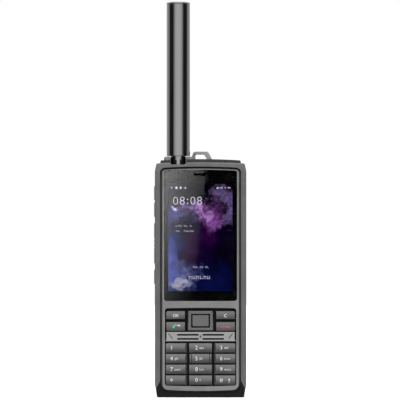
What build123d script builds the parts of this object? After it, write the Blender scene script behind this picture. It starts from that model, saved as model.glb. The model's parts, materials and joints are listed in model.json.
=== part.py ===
"""Satellite phone, standing upright on its flat bottom: front towards -Y, antenna up. Millimetres.

The origin is the middle of the flat bottom. Every piece is one node, written to parts/NODE.step.
Outlines are drawn in the X-Z plane and given depth along Y, from the front (low y) to the back.
"""

from build123d import *
import os

# ---- driving dimensions --------------------------------------------------------------------
# Handset body
HALF_WIDTH = 32.5
FRAME_TOP = 167.0
FRONT = -13.5
BACK = 13.5
FOOT_HALF_WIDTH = 30.9
TAPER_HEIGHT = 9.4
SHOULDER = 161.0
RAIL = 3.5
GROOVE = 1.4
FINE_LINE_INSETS = (1.55, 2.95)
FINE_LINE_WIDTH = 0.5
FINE_LINE_DEPTH = 0.6
LINE_LOW = 14.0
LINE_HIGH = 160.0

# Depth stack, front to back
BEZEL_FRONT = -13.2
GLASS_FRONT = -13.0
GLASS_BACK = -11.8
FLANGE_FRONT = -10.5
MAT_FRONT = -10.5
MAT_BACK = -9.9
CHASSIS_FRONT = -8.8
CHASSIS_BACK = -7.8
GASKET_BACK = -7.4
BOARD_FRONT = -7.3
BOARD_BACK = -6.5

# Bezel, glass and display
BEZEL_HALF_WIDTH = 27.5
BEZEL_LOW = 4.2
BEZEL_HIGH = 162.7
BEZEL_ARCH = 1.0
BEZEL_LOW_ROUND = 4.5
BEZEL_HIGH_ROUND = 2.4
GLASS_HALF_WIDTH = 25.9
GLASS_LOW = 68.5
GLASS_HIGH = 161.8
GLASS_ARCH = 0.7
DISPLAY_HALF_WIDTH = 24.4
DISPLAY_LOW = 71.0
DISPLAY_HIGH = 154.6
SLOT_HALF_WIDTH = 4.2
EARPIECE_LOW = 157.55
EARPIECE_HEIGHT = 1.6
BEZEL_SCREW_X = 26.9
BEZEL_SCREW_LEVELS = (20, 66, 152)
FIT = 0.1
BEYOND = 40.0

# Top cap
CAP_HALF_WIDTH = 29.2
CAP_LOW = 165.0
CAP_TOP = 169.4
CAP_BACK = 7.5

# Keypad
PAD_HALF_WIDTH = 25.4
PAD_LOW = 7.9
PAD_HIGH = 63.7
KEY_CROWN = -13.6
KEY_EDGE = -12.9
FLAT_KEY_CROWN = -13.45
FLAT_KEY_EDGE = -13.15
KEY_BACK = -11.0
KEY_BEVEL = 0.18
ROW_TOP = 38.6
ROW_PITCH = 7.64
KEY_HEIGHT = 6.8
SIDE_KEY_INNER = 9.5
SIDE_KEY_OUTER = 24.7
MIDDLE_KEY_HALF = 8.15
HOMING_KEY_HALF = 7.8
HOMING_GROOVE_X = 6.4
HOMING_GROOVE_WIDTH = 0.55
HOMING_GROOVE_FLOOR = -12.2
FLANK_WIDTH = 1.5
FLANK_FLOOR = -11.6
FUNCTION_INNER = 11.1
FUNCTION_OUTER = 24.4
SOFT_LOW = 55.6
SOFT_HIGH = 61.3
CALL_LOW = 47.3
CALL_HIGH = 53.5
NAV_Z = 54.4
STRIP_HALF_WIDTH = 24.9
STRIP_LOW = 40.0
STRIP_HIGH = 46.5
STRIP_FRONT = -13.35
STRIP_THICKNESS = 1.1
STRIP_FLARE = 0.7
STRIP_ENGRAVING = 0.3
SLOT_LENGTH = 15.4
SLOT_HEIGHT = 1.2

# Antenna and its hinge
ANTENNA_X = -15.9
ANTENNA_Y = 4.0
ANTENNA_RADIUS = 8.45
RADOME_WALL = 1.55
RADOME_LOW = 172.0
ANTENNA_TOP = 281.8
TIP_HEIGHT = 1.7
HINGE_Z = 165.2
LUG_RADIUS = 6.1
LUG_INNER = 5.8
LUG_OUTER = 10.2
TONGUE_RADIUS = 5.4
BARREL_RADIUS = 5.3
BARREL_HALF_LENGTH = 5.5
BARREL_SHOULDER = 163.5
WASHER_RADIUS = 5.9
PIN_RADIUS = 2.0
SEAT_Y = -4.8
NOTCH_LOW = 165.5
CHANNEL_RADIUS = 9.2
CHANNEL_LOW = 47.5
HINGE_BAY_LOW = 157.8
LOOP_FRONT = 11.1
LOOP_BACK = 13.0
LOOP_LOW = 158.0
LOOP_LEFT_LEG = (-5.4, -3.6)
LOOP_RIGHT_LEG = (6.2, 8.2)

# Rear housing, battery bay and cover
HOUSING_HALF_WIDTH = 32.3
HOUSING_TOP = 166.3
BACK_ROUND = 4.0
PARTING = 4.0
BAY_LEFT = -3.8
BAY_RIGHT = 27.0
BAY_LOW = 47.5
BAY_HIGH = 134.0
BAY_FLOOR = -2.0
COVER_LEFT = -5.0
COVER_RIGHT = 28.2
COVER_LOW = 33.0
COVER_HIGH = 137.0
COVER_FRONT = 11.5
COVER_GAP = 0.25
LOCK_X = 11.6
LOCK_Z = 40.3
LOCK_RADIUS = 4.5
LOCK_BORE = 2.3
SCREW_PLACES = [(-28.6, 14.0), (-28.6, 64.0), (-28.6, 156.0), (24.6, 14.0), (24.6, 152.0)]
SCREW_SEAT = 1.6
GRILLE_X = 9.0
GRILLE_LOW = 143.5
GRILLE_PITCH = 2.6
RIB_LOW = 72.0
RIB_PITCH = 5.0

# Side controls, on the left wall; the charging port is on the right wall
SIDE_FACE = -33.1
SIDE_BACK = -30.2
SIDE_Y = 0.5
SIDE_HALF_DEPTH = 2.4
SIDE_GAP = 0.35
POCKET_FLOOR = -29.2
ROCKER_LOW = 128.2
ROCKER_HIGH = 150.4
PTT_LOW = 95.0
PTT_HIGH = 123.9
SMALL_KEY_LOW = 80.4
SMALL_KEY_HIGH = 90.7
PORT_Y = 2.0
PORT_Z = 20.5
PORT_HALF_DEPTH = 3.4
PORT_HALF_HEIGHT = 7.0
FLAP_THICKNESS = 1.6


# ---- helpers -------------------------------------------------------------------------------
def slab(outline, front, back):
    """Give an X-Z outline depth, from y = front to y = back."""
    return extrude(Plane.XZ.offset(-back) * outline, amount=back - front)


def block(x0, x1, y0, y1, z0, z1):
    """Rectangular block between two corners."""
    size = Box(x1 - x0, y1 - y0, z1 - z0)
    return Pos((x0 + x1) / 2, (y0 + y1) / 2, (z0 + z1) / 2) * size


def panel(x0, x1, z0, z1):
    """Rectangle in the X-Z outline plane."""
    return Pos((x0 + x1) / 2, (z0 + z1) / 2) * Rectangle(x1 - x0, z1 - z0)


def rod_x(x0, x1, y, z, radius):
    """Round rod along X."""
    return Pos((x0 + x1) / 2, y, z) * Rot(0, 90, 0) * Cylinder(radius, x1 - x0)


def rod_y(x, y0, y1, z, radius):
    """Round rod along Y."""
    return Pos(x, (y0 + y1) / 2, z) * Rot(90, 0, 0) * Cylinder(radius, y1 - y0)


def rod_z(x, y, z0, z1, radius):
    """Round rod along Z."""
    return Pos(x, y, (z0 + z1) / 2) * Cylinder(radius, z1 - z0)


def polygon(*points):
    """Closed polygon through the given points, in their own place."""
    return make_face(Polyline(*points, close=True))


def arched_panel(half_width, low, high, low_arch, high_arch, low_round, high_round):
    """Upright panel with a bowed top and bottom edge and rounded corners."""
    left, right = -half_width, half_width
    top = ThreePointArc((left, high - high_arch), (0, high), (right, high - high_arch))
    bottom = ThreePointArc((right, low + low_arch), (0, low), (left, low + low_arch))
    face = make_face([top, Line(top @ 1, bottom @ 0), bottom, Line(bottom @ 1, top @ 0)])
    corners = face.vertices().group_by(Axis.Y)
    face = fillet(corners[-1], high_round)
    return fillet(face.vertices().group_by(Axis.Y)[0], low_round)


def save(node, shape):
    """Write one node's solids to its STEP file."""
    solids = shape.solids()
    body = solids[0] if len(solids) == 1 else Compound(children=list(solids))
    export_step(body, f"parts/{node}.step")


# ---- outlines ------------------------------------------------------------------------------
def body_outline():
    """Front view of the frame: tapered foot, straight sides, sloped shoulders, arched top."""
    shoulder_x = HALF_WIDTH - 1.2
    corner_z = FRAME_TOP - 0.6
    right = [(FOOT_HALF_WIDTH, 0), (HALF_WIDTH, TAPER_HEIGHT), (HALF_WIDTH, SHOULDER), (shoulder_x, corner_z)]
    left = [(-x, z) for x, z in reversed(right)]
    arch = ThreePointArc(right[-1], (0, FRAME_TOP), left[0])
    sides = [Line(a, b) for a, b in zip(right, right[1:])]
    sides += [Line(a, b) for a, b in zip(left, left[1:])]
    face = make_face(sides + [arch, Line(left[-1], right[0])])
    for level, radius in ((0, 1.5), (TAPER_HEIGHT, 12.0), (SHOULDER, 9.0), (corner_z, 1.4)):
        corners = [v for v in face.vertices() if abs(v.Y - level) < 0.01]
        face = fillet(corners, radius)
    return face


def bezel_outline(grow):
    """Outline of the inner bezel, enlarged all round."""
    low, high = BEZEL_LOW - grow, BEZEL_HIGH + grow
    rounds = BEZEL_LOW_ROUND + grow, BEZEL_HIGH_ROUND + grow
    return arched_panel(BEZEL_HALF_WIDTH + grow, low, high, BEZEL_ARCH, BEZEL_ARCH, *rounds)


def glass_outline(grow):
    """Outline of the cover glass, enlarged all round."""
    low, high = GLASS_LOW - grow, GLASS_HIGH + grow
    return arched_panel(GLASS_HALF_WIDTH + grow, low, high, 0.1, GLASS_ARCH, 2.0, 1.6)


def foot_region():
    """Part of the front view that the dark bottom cap takes up."""
    tip, high = 4.6, 11.5
    inner = HALF_WIDTH - RAIL
    return polygon((-BEYOND, -5), (BEYOND, -5), (BEYOND, tip), (HALF_WIDTH, tip), (inner, high),
                   (-inner, high), (-HALF_WIDTH, tip), (-BEYOND, tip))


def notch():
    """Cut through the top edge in front of the antenna's tongue."""
    left, right = ANTENNA_X - LUG_INNER, ANTENNA_X + LUG_INNER
    face = panel(left, right, NOTCH_LOW, FRAME_TOP + 6)
    return slab(fillet(face.vertices().group_by(Axis.Y)[0], 1.8), FRONT - 1, SEAT_Y + 0.5)


def housing_blank():
    """Rear half of the body before it is hollowed, with its back edges rounded."""
    foot = FOOT_HALF_WIDTH - 0.2
    points = [(foot, 0), (HOUSING_HALF_WIDTH, TAPER_HEIGHT), (HOUSING_HALF_WIDTH, HOUSING_TOP)]
    points += [(-x, z) for x, z in reversed(points)]
    face = polygon(*points)
    top = [v for v in face.vertices() if v.Y > HOUSING_TOP - 1]
    face = fillet(top, 6.0)
    blank = slab(face, GASKET_BACK, BACK)
    return fillet(blank.faces().sort_by(Axis.Y)[-1].edges(), BACK_ROUND)


# ---- front shell ---------------------------------------------------------------------------
def outer_frame():
    """Metal-look rails and top band, with two fine lines along each rail."""
    frame = slab(body_outline(), FRONT, CHASSIS_BACK)
    frame = chamfer(frame.faces().sort_by(Axis.Y)[0].edges(), 0.5)
    frame -= slab(bezel_outline(GROOVE) + foot_region(), FRONT - 1, CHASSIS_BACK + 1)
    for side in (-1, 1):
        for inset in FINE_LINE_INSETS:
            x, half = side * (HALF_WIDTH - inset), FINE_LINE_WIDTH / 2
            frame -= block(x - half, x + half, FRONT - 1, FRONT + FINE_LINE_DEPTH, LINE_LOW, LINE_HIGH)
    return frame - notch()


def bottom_cap():
    """Dark foot: it wraps the bezel's lower end and closes the bottom of the housing."""
    front_piece = slab(body_outline() & foot_region(), FRONT, CHASSIS_BACK)
    front_piece -= slab(bezel_outline(GROOVE), FRONT - 1, CHASSIS_BACK + 1)
    plate = housing_blank() & block(-BEYOND, BEYOND, GASKET_BACK, BACK + 1, -1, PARTING)
    foot = body_outline() & panel(-BEYOND, BEYOND, -1, BEZEL_LOW - GROOVE - 0.4)
    link = slab(foot, CHASSIS_BACK, GASKET_BACK)
    return front_piece + link + plate


def front_bezel():
    """Inner bezel round the glass and the keypad, with a flange tucked under the frame."""
    bezel = slab(bezel_outline(0), BEZEL_FRONT, CHASSIS_FRONT)
    bezel = chamfer(bezel.faces().sort_by(Axis.Y)[0].edges(), 0.5)
    flange = slab(bezel_outline(GROOVE - FIT), FLANGE_FRONT, CHASSIS_FRONT)
    keypad = arched_panel(PAD_HALF_WIDTH, PAD_LOW, PAD_HIGH, 0.5, 0.3, 1.5, 2.0)
    window = fillet(panel(-25.0, 25.0, 70.5, 160.2).vertices(), 1.0)
    bezel = bezel + flange
    bezel -= slab(glass_outline(FIT), BEZEL_FRONT - 1, GLASS_BACK)
    bezel -= slab(window, GLASS_BACK - 1, CHASSIS_FRONT + 1)
    bezel -= slab(keypad, BEZEL_FRONT - 1, CHASSIS_FRONT + 1)
    for x, z in bezel_screw_places():
        bezel -= rod_y(x, CHASSIS_FRONT - 1.2, CHASSIS_FRONT + 1, z, 0.8)
    return bezel


def bezel_gasket():
    """Soft seal that fills the bottom of the groove between frame and bezel."""
    ring = bezel_outline(GROOVE - FIT) - bezel_outline(0.05)
    return slab(ring, FLANGE_FRONT - 1.1, FLANGE_FRONT)


def housing_gasket():
    """Flat seal between the frame and the rear housing."""
    low, high = BEZEL_LOW - GROOVE - 0.4, FRAME_TOP - 1.9
    outer = arched_panel(HALF_WIDTH - 1.2, low, high, 0.1, 0.4, 0.4, 4.0)
    ring = outer - bezel_outline(GROOVE + 0.6)
    return slab(ring, CHASSIS_BACK, GASKET_BACK)


def top_caps():
    """Dark cap along the top and its short end piece, on either side of the antenna hinge."""
    shoulder = CAP_HALF_WIDTH - 1
    arch = ThreePointArc((shoulder, CAP_TOP - 0.9), (0, CAP_TOP), (-shoulder, CAP_TOP - 0.9))
    skirt = Polyline(arch @ 1, (-CAP_HALF_WIDTH, CAP_LOW), (CAP_HALF_WIDTH, CAP_LOW), arch @ 0)
    face = make_face([arch, skirt])
    front_part = slab(face - body_outline(), FRONT + 1.2, CHASSIS_BACK)
    rear_part = slab(face - panel(-BEYOND, BEYOND, 160, HOUSING_TOP), CHASSIS_BACK, CAP_BACK)
    cap = front_part + rear_part
    cap = chamfer(cap.faces().sort_by(Axis.Z)[-1].edges().filter_by(GeomType.CIRCLE), 0.3)
    return (cap - hinge_bay() - notch()).solids().sort_by(Axis.X)


def top_cap():
    """Main length of the top cap."""
    return top_caps()[-1]


def top_cap_end():
    """Short end of the top cap, left of the antenna."""
    return top_caps()[0]


# ---- glass and display ---------------------------------------------------------------------
def earpiece_slot(grow):
    """Shallow smile-shaped slot over the earpiece."""
    half, low, height = SLOT_HALF_WIDTH, EARPIECE_LOW - grow, EARPIECE_HEIGHT + 2 * grow
    bar = panel(-half - grow, half + grow, low, low + height)
    for side in (-1, 1):
        x = side * (half - 0.5)
        bar += polygon((x - 0.6, low), (x + 0.6, low), (x + side * 0.5 + 0.5, low + height + 0.5),
                       (x + side * 0.5 - 0.5, low + height + 0.5))
    return bar


def cover_glass():
    """Front glass with the earpiece slot cut through it."""
    glass = slab(glass_outline(0), GLASS_FRONT, GLASS_BACK)
    glass = chamfer(glass.faces().sort_by(Axis.Y)[0].edges(), 0.2)
    return glass - slab(earpiece_slot(0), GLASS_FRONT - 1, GLASS_BACK + 1)


def earpiece_mesh():
    """Woven mesh disc strip behind the slot."""
    return slab(fillet(panel(-5.2, 5.2, EARPIECE_LOW - 0.7, EARPIECE_LOW + 2.5).vertices(), 1.0), GLASS_BACK, GLASS_BACK + 0.4)


def earpiece_speaker():
    """Flat receiver capsule under the mesh."""
    return slab(fillet(panel(-6.0, 6.0, 155.4, 159.8).vertices(), 1.5), GLASS_BACK + 0.5, CHASSIS_FRONT - 0.2)


def display_panel():
    """Display module bonded to the glass."""
    face = fillet(panel(-DISPLAY_HALF_WIDTH, DISPLAY_HALF_WIDTH, DISPLAY_LOW, DISPLAY_HIGH).vertices(), 0.5)
    return slab(face, GLASS_BACK, CHASSIS_FRONT - 0.2)


def display_chassis():
    """Stiff plate behind display and keypad, lightened by slots and tapped for its screws."""
    face = bezel_outline(GROOVE - FIT)
    for row in range(3):
        low = 80 + row * 24
        face -= fillet(panel(6, 18, low, low + 12).vertices(), 2.0)
    plate = slab(face, CHASSIS_FRONT, CHASSIS_BACK)
    for x, z in bezel_screw_places():
        plate -= rod_y(x, CHASSIS_FRONT - 1, CHASSIS_BACK + 1, z, 0.8)
    return plate


def bezel_screw_places():
    """Places of the six screws that hold the chassis to the bezel."""
    return [(side * BEZEL_SCREW_X, z) for side in (-1, 1) for z in BEZEL_SCREW_LEVELS]


def inner_screws():
    """Six screws through the chassis into the bezel and two that hold the hinge bracket."""
    screws = Part()
    for x, z in bezel_screw_places():
        shank = rod_y(x, CHASSIS_FRONT - 1.1, CHASSIS_BACK, z, 0.75)
        screws += shank + rod_y(x, CHASSIS_BACK, CHASSIS_BACK + 0.35, z, 1.3)
    for x in bracket_screw_places():
        shank = rod_y(x, SEAT_Y - 1.2, SEAT_Y + 1.5, HINGE_Z - 3.6, 1.0)
        screws += shank + rod_y(x, SEAT_Y + 1.5, SEAT_Y + 2.3, HINGE_Z - 3.6, 1.8)
    return screws


# ---- keypad --------------------------------------------------------------------------------
def keycap(x0, x1, z0, z1, crown=KEY_CROWN, edge=KEY_EDGE):
    """Key with a front face bowed from top to bottom."""
    bow = ThreePointArc((edge, z0), (crown, (z0 + z1) / 2), (edge, z1))
    back = Polyline((edge, z1), (KEY_BACK, z1), (KEY_BACK, z0), (edge, z0))
    return extrude(Plane.YZ.offset(x0) * make_face([bow, back]), amount=x1 - x0)


def bevel_front(key):
    """Break the front edges of a key."""
    return chamfer(key.faces().sort_by(Axis.Y)[0].edges(), KEY_BEVEL)


def round_key_corner(key, side, high):
    """Round one corner of a key, seen from the front."""
    edges = key.edges().filter_by(Axis.Y).group_by(Axis.Z)[-1 if high else 0]
    return fillet(edges.sort_by(Axis.X)[-1 if side > 0 else 0], 1.2)


def flank(x_inner, side, z0, z1):
    """Steep cut along the inner side of an outer-column key."""
    x_face, x_out = x_inner + side * FLANK_WIDTH, x_inner - side
    low, high = z0 - 1, z1 + 1
    corners = [(x_face, KEY_CROWN - 1), (x_face, KEY_CROWN), (x_inner, FLANK_FLOOR), (x_out, FLANK_FLOOR),
               (x_out, KEY_CROWN - 1)]
    return extrude(Plane.XY.offset(low) * polygon(*corners), amount=high - low)


def number_key(row, column, middle_half=MIDDLE_KEY_HALF):
    """One of the twelve number keys: row 0 is the top one, column -1, 0 or 1."""
    z1 = ROW_TOP - row * ROW_PITCH
    z0 = z1 - KEY_HEIGHT
    if column == 0:
        return bevel_front(keycap(-middle_half, middle_half, z0, z1))
    x_inner, x_outer = column * SIDE_KEY_INNER, column * SIDE_KEY_OUTER
    key = keycap(min(x_inner, x_outer), max(x_inner, x_outer), z0, z1)
    if row == 0:
        key = round_key_corner(key, column, True)
    return bevel_front(key) - flank(x_inner, column, z0, z1)


def homing_key():
    """The middle key, narrower, with an upright groove near each end for finding it by touch."""
    z1 = ROW_TOP - ROW_PITCH
    z0 = z1 - KEY_HEIGHT
    key = number_key(1, 0, HOMING_KEY_HALF)
    half = HOMING_GROOVE_WIDTH / 2
    for x in (-HOMING_GROOVE_X, HOMING_GROOVE_X):
        key -= block(x - half, x + half, KEY_CROWN - 1, HOMING_GROOVE_FLOOR, z0 - 1, z1 + 1)
    return key


def function_key(side, low, high, bottom):
    """Soft, call or end key beside the navigation ring."""
    x_inner, x_outer = side * FUNCTION_INNER, side * FUNCTION_OUTER
    key = keycap(min(x_inner, x_outer), max(x_inner, x_outer), low, high, FLAT_KEY_CROWN, FLAT_KEY_EDGE)
    return bevel_front(round_key_corner(key, side, not bottom))


def nav_ring():
    """Four-way ring round the centre key, slightly wider at the bottom."""
    half_low, half_high, half_height = 9.1, 8.8, 6.95
    outer = polygon((-half_low, NAV_Z - half_height), (half_low, NAV_Z - half_height),
                    (half_high, NAV_Z + half_height), (-half_high, NAV_Z + half_height))
    outer = fillet(outer.vertices(), 0.7)
    inner = fillet(panel(-6.75, 6.75, NAV_Z - 4.85, NAV_Z + 5.0).vertices(), 0.6)
    ring = slab(outer, KEY_CROWN - 0.1, KEY_BACK - 0.4)
    ring = chamfer(ring.faces().sort_by(Axis.Y)[0].edges(), 0.45)
    return ring - slab(inner, KEY_CROWN - 1, KEY_BACK)


def nav_carrier():
    """Rocking cross-piece under the ring, open in the middle for the centre key's plunger."""
    front, back = KEY_BACK - 0.32, KEY_BACK - 0.05
    face = Pos(0, NAV_Z) * Circle(4.0) + panel(-1.2, 1.2, NAV_Z - 6.4, NAV_Z + 6.4)
    return slab(face - Pos(0, NAV_Z) * Circle(2.3), front, back)


def centre_key():
    """Select key inside the ring, with a plunger that reaches the dome."""
    face = fillet(panel(-5.85, 5.85, NAV_Z - 4.0, NAV_Z + 4.1).vertices(), 0.5)
    cap = slab(face, KEY_CROWN, KEY_BACK - 0.9)
    cap = chamfer(cap.faces().sort_by(Axis.Y)[0].edges(), 0.3)
    return cap + rod_y(0, KEY_BACK - 0.9, KEY_BACK, NAV_Z, 1.6)


def metal_strip():
    """Decorative metal strip with four slots and engraved marks, flared downwards, on two feet."""
    half, neck, flare_top = STRIP_HALF_WIDTH, STRIP_HALF_WIDTH - STRIP_FLARE, STRIP_LOW + 1.6
    face = polygon((-half, STRIP_LOW), (half, STRIP_LOW), (neck, flare_top), (neck, STRIP_HIGH),
                   (-neck, STRIP_HIGH), (-neck, flare_top))
    for side in (-1, 1):
        for slot_low in (STRIP_LOW + 1.0, STRIP_LOW + 3.9):
            face -= Pos(side * 9.0, slot_low + SLOT_HEIGHT / 2) * SlotOverall(SLOT_LENGTH, SLOT_HEIGHT)
    strip = slab(face, STRIP_FRONT, STRIP_FRONT + STRIP_THICKNESS)
    strip -= slab(strip_engraving(), STRIP_FRONT - 1, STRIP_FRONT + STRIP_ENGRAVING)
    for side in (-1, 1):
        x = side * 20.5
        foot_front = STRIP_FRONT + STRIP_THICKNESS - 0.1
        strip += block(x - 1.5, x + 1.5, foot_front, MAT_FRONT, STRIP_LOW + 1.5, STRIP_HIGH - 1.5)
    return strip


def strip_engraving():
    """Slanted bar at each end of the strip and a small diamond at its middle."""
    low, high = STRIP_LOW + 1.6, STRIP_HIGH - 1.0
    middle = (STRIP_LOW + STRIP_HIGH) / 2
    bar = polygon((19.4, low), (20.3, low), (23.2, high), (22.3, high))
    diamond = polygon((-0.8, middle), (0, middle - 1.1), (0.8, middle), (0, middle + 1.1))
    return bar + mirror(bar, Plane.YZ) + diamond


def keypad_mat():
    """Silicone sheet under the keys, filling the keypad opening."""
    face = arched_panel(PAD_HALF_WIDTH - FIT, PAD_LOW + FIT, PAD_HIGH - FIT, 0.5, 0.3, 1.4, 1.9)
    return slab(face, MAT_FRONT, MAT_BACK)


def key_board():
    """Circuit board with the snap domes and contacts of the keys."""
    return slab(panel(-24.8, 24.8, 9.2, 62.6), MAT_BACK, CHASSIS_FRONT)


# ---- antenna -------------------------------------------------------------------------------
def antenna_radome():
    """Glossy tube over the antenna element."""
    tube = rod_z(ANTENNA_X, ANTENNA_Y, RADOME_LOW, ANTENNA_TOP - TIP_HEIGHT, ANTENNA_RADIUS)
    return tube - rod_z(ANTENNA_X, ANTENNA_Y, RADOME_LOW - 1, ANTENNA_TOP, ANTENNA_RADIUS - RADOME_WALL)


def antenna_tip():
    """End cap of the radome, with a spigot inside the tube."""
    cap = rod_z(ANTENNA_X, ANTENNA_Y, ANTENNA_TOP - TIP_HEIGHT, ANTENNA_TOP, ANTENNA_RADIUS)
    cap = fillet(cap.faces().sort_by(Axis.Z)[-1].edges(), 1.2)
    spigot = ANTENNA_RADIUS - RADOME_WALL - 0.03
    return cap + rod_z(ANTENNA_X, ANTENNA_Y, ANTENNA_TOP - TIP_HEIGHT - 3, ANTENNA_TOP - TIP_HEIGHT, spigot)


def antenna_base():
    """Round tongue, hinge barrel and plug that carry the radome."""
    inner = ANTENNA_RADIUS - RADOME_WALL - 0.03
    plate = rod_z(ANTENNA_X, ANTENNA_Y, RADOME_LOW - 0.4, RADOME_LOW, ANTENNA_RADIUS - 0.3)
    plug = rod_z(ANTENNA_X, ANTENNA_Y, RADOME_LOW, RADOME_LOW + 11, inner)
    tongue = rod_z(ANTENNA_X, ANTENNA_Y, BARREL_SHOULDER, RADOME_LOW, TONGUE_RADIUS)
    left, right = ANTENNA_X - BARREL_HALF_LENGTH, ANTENNA_X + BARREL_HALF_LENGTH
    barrel = rod_x(left, right, ANTENNA_Y, HINGE_Z, BARREL_RADIUS)
    barrel -= block(left - 1, right + 1, FRONT, ANTENNA_Y, BARREL_SHOULDER, RADOME_LOW)
    pin_hole = rod_x(left - 1, right + 1, ANTENNA_Y, HINGE_Z, PIN_RADIUS + 0.05)
    feed_hole = rod_z(ANTENNA_X, ANTENNA_Y, RADOME_LOW + 1, RADOME_LOW + 12, 1.3)
    return plate + plug + tongue + barrel - pin_hole - feed_hole


def antenna_former():
    """Thin tube that the helical strips are wound on."""
    low, high = RADOME_LOW + 11.2, ANTENNA_TOP - 9
    return rod_z(ANTENNA_X, ANTENNA_Y, low, high, 5.5) - rod_z(ANTENNA_X, ANTENNA_Y, low - 1, high + 1, 4.6)


def antenna_helix():
    """Four copper strips, each half a turn round the former."""
    strips = Part()
    height = 80.0
    path = Helix(pitch=2 * height, height=height, radius=5.72)
    section = Plane(origin=path @ 0, x_dir=(1, 0, 0), z_dir=path % 0) * Rectangle(0.25, 2.4)
    strip = sweep(section, path=path, is_frenet=True)
    for quarter in range(4):
        strips += Pos(ANTENNA_X, ANTENNA_Y, RADOME_LOW + 15) * Rot(0, 0, 90 * quarter) * strip
    return strips


def antenna_feed():
    """Stiff coaxial feed from the plug up the middle of the former."""
    return rod_z(ANTENNA_X, ANTENNA_Y, RADOME_LOW + 1.2, RADOME_LOW + 60, 1.1)


def hinge_bay():
    """Space that the lugs and the turning antenna need in the housing and top cap."""
    left, right = ANTENNA_X - LUG_OUTER, ANTENNA_X + LUG_OUTER
    lugs = block(left, right, SEAT_Y, 11.0, HINGE_BAY_LOW, ANTENNA_TOP)
    sweep_left, sweep_right = ANTENNA_X - CHANNEL_RADIUS, ANTENNA_X + CHANNEL_RADIUS
    return lugs + block(sweep_left, sweep_right, ANTENNA_Y, BACK + 1, HINGE_BAY_LOW - 1, ANTENNA_TOP)


def stow_channel():
    """Round-bottomed channel down the back that takes the folded antenna."""
    low, high = CHANNEL_LOW, HINGE_BAY_LOW + 0.5
    groove = rod_z(ANTENNA_X, ANTENNA_Y, low, high, CHANNEL_RADIUS)
    mouth = block(ANTENNA_X - CHANNEL_RADIUS, ANTENNA_X + CHANNEL_RADIUS, ANTENNA_Y, BACK + 1, low, high)
    return groove + mouth


def hinge_bracket():
    """Fork on the housing: a seat plate and two round-ended lugs with the pin holes."""
    plate = block(ANTENNA_X - LUG_OUTER, ANTENNA_X + LUG_OUTER, SEAT_Y, SEAT_Y + 1.5, HINGE_Z - LUG_RADIUS,
                  NOTCH_LOW - 0.1)
    bracket = plate
    for side in (-1, 1):
        inner, outer = ANTENNA_X + side * LUG_INNER, ANTENNA_X + side * LUG_OUTER
        x0, x1 = min(inner, outer), max(inner, outer)
        web = block(x0, x1, SEAT_Y, ANTENNA_Y, HINGE_Z - LUG_RADIUS, HINGE_Z + LUG_RADIUS)
        lug = web + rod_x(x0, x1, ANTENNA_Y, HINGE_Z, LUG_RADIUS)
        front_top = lug.edges().filter_by(Axis.X).group_by(Axis.Y)[0].sort_by(Axis.Z)[-1]
        lug = fillet(front_top, 2.5)
        rim = lug.faces().sort_by(Axis.X)[-1 if side > 0 else 0].edges().filter_by(GeomType.CIRCLE)
        bracket += chamfer(rim.group_by(Axis.Z)[-1], 0.9)
    bracket -= rod_x(ANTENNA_X - 15, ANTENNA_X + 15, ANTENNA_Y, HINGE_Z, PIN_RADIUS + 0.03)
    for x in bracket_screw_places():
        bracket -= rod_y(x, SEAT_Y - 1, SEAT_Y + 3, HINGE_Z - 3.6, 1.05)
    return bracket


def bracket_screw_places():
    """Across-places of the two screws in the bracket's seat plate."""
    return [ANTENNA_X - 2.9, ANTENNA_X + 2.9]


def hinge_pin():
    """Steel pin through both lugs and the antenna's barrel."""
    return rod_x(ANTENNA_X - LUG_OUTER + 0.2, ANTENNA_X + LUG_OUTER - 0.2, ANTENNA_Y, HINGE_Z, PIN_RADIUS)


def hinge_washers():
    """Friction washers between the barrel and each lug."""
    washers = Part()
    for side in (-1, 1):
        inner, outer = ANTENNA_X + side * (BARREL_HALF_LENGTH + 0.08), ANTENNA_X + side * LUG_INNER
        x0, x1 = min(inner, outer), max(inner, outer)
        washer = rod_x(x0, x1, ANTENNA_Y, HINGE_Z, WASHER_RADIUS)
        washers += washer - rod_x(x0 - 1, x1 + 1, ANTENNA_Y, HINGE_Z, PIN_RADIUS + 0.03)
    return washers


def lanyard_loop():
    """Metal loop behind the top edge, its legs let into the housing."""
    low, bar_top, bar_low = LOOP_LOW, 175.0, 172.7
    left, right = LOOP_LEFT_LEG[0], LOOP_RIGHT_LEG[1]
    outer = polygon((left, low), (left, 168.6), (-6.5, 170.6), (-5.0, bar_top), (5.4, bar_top),
                    (right, 169.6), (right, low))
    left, right = LOOP_LEFT_LEG[1], LOOP_RIGHT_LEG[0]
    inner = polygon((left, low), (left, bar_low), (2.7, bar_low), (4.4, 169.6), (right, 167.6), (right, low))
    outer = fillet([v for v in outer.vertices() if v.Y > bar_top - 0.1], 2.2)
    inner = fillet([v for v in inner.vertices() if v.Y > bar_low - 0.1], 0.8)
    return slab(outer - inner, LOOP_FRONT, LOOP_BACK)


# ---- rear housing --------------------------------------------------------------------------
def speaker_grille():
    """Row of slots in the back wall over the loudspeaker."""
    cuts = Part()
    for row in range(5):
        z = GRILLE_LOW + row * GRILLE_PITCH
        cuts += slab(Pos(GRILLE_X, z) * SlotOverall(13.0, 1.1), 9.0, BACK + 1)
    return cuts


def side_pockets():
    """Openings in the left wall for the rocker, the talk key and the small key."""
    cuts = Part()
    for low, high in ((ROCKER_LOW, ROCKER_HIGH), (PTT_LOW, PTT_HIGH), (SMALL_KEY_LOW, SMALL_KEY_HIGH)):
        depth = SIDE_HALF_DEPTH + SIDE_GAP
        cuts += block(-BEYOND, POCKET_FLOOR, SIDE_Y - depth, SIDE_Y + depth, low - SIDE_GAP, high + SIDE_GAP)
    return cuts


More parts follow.
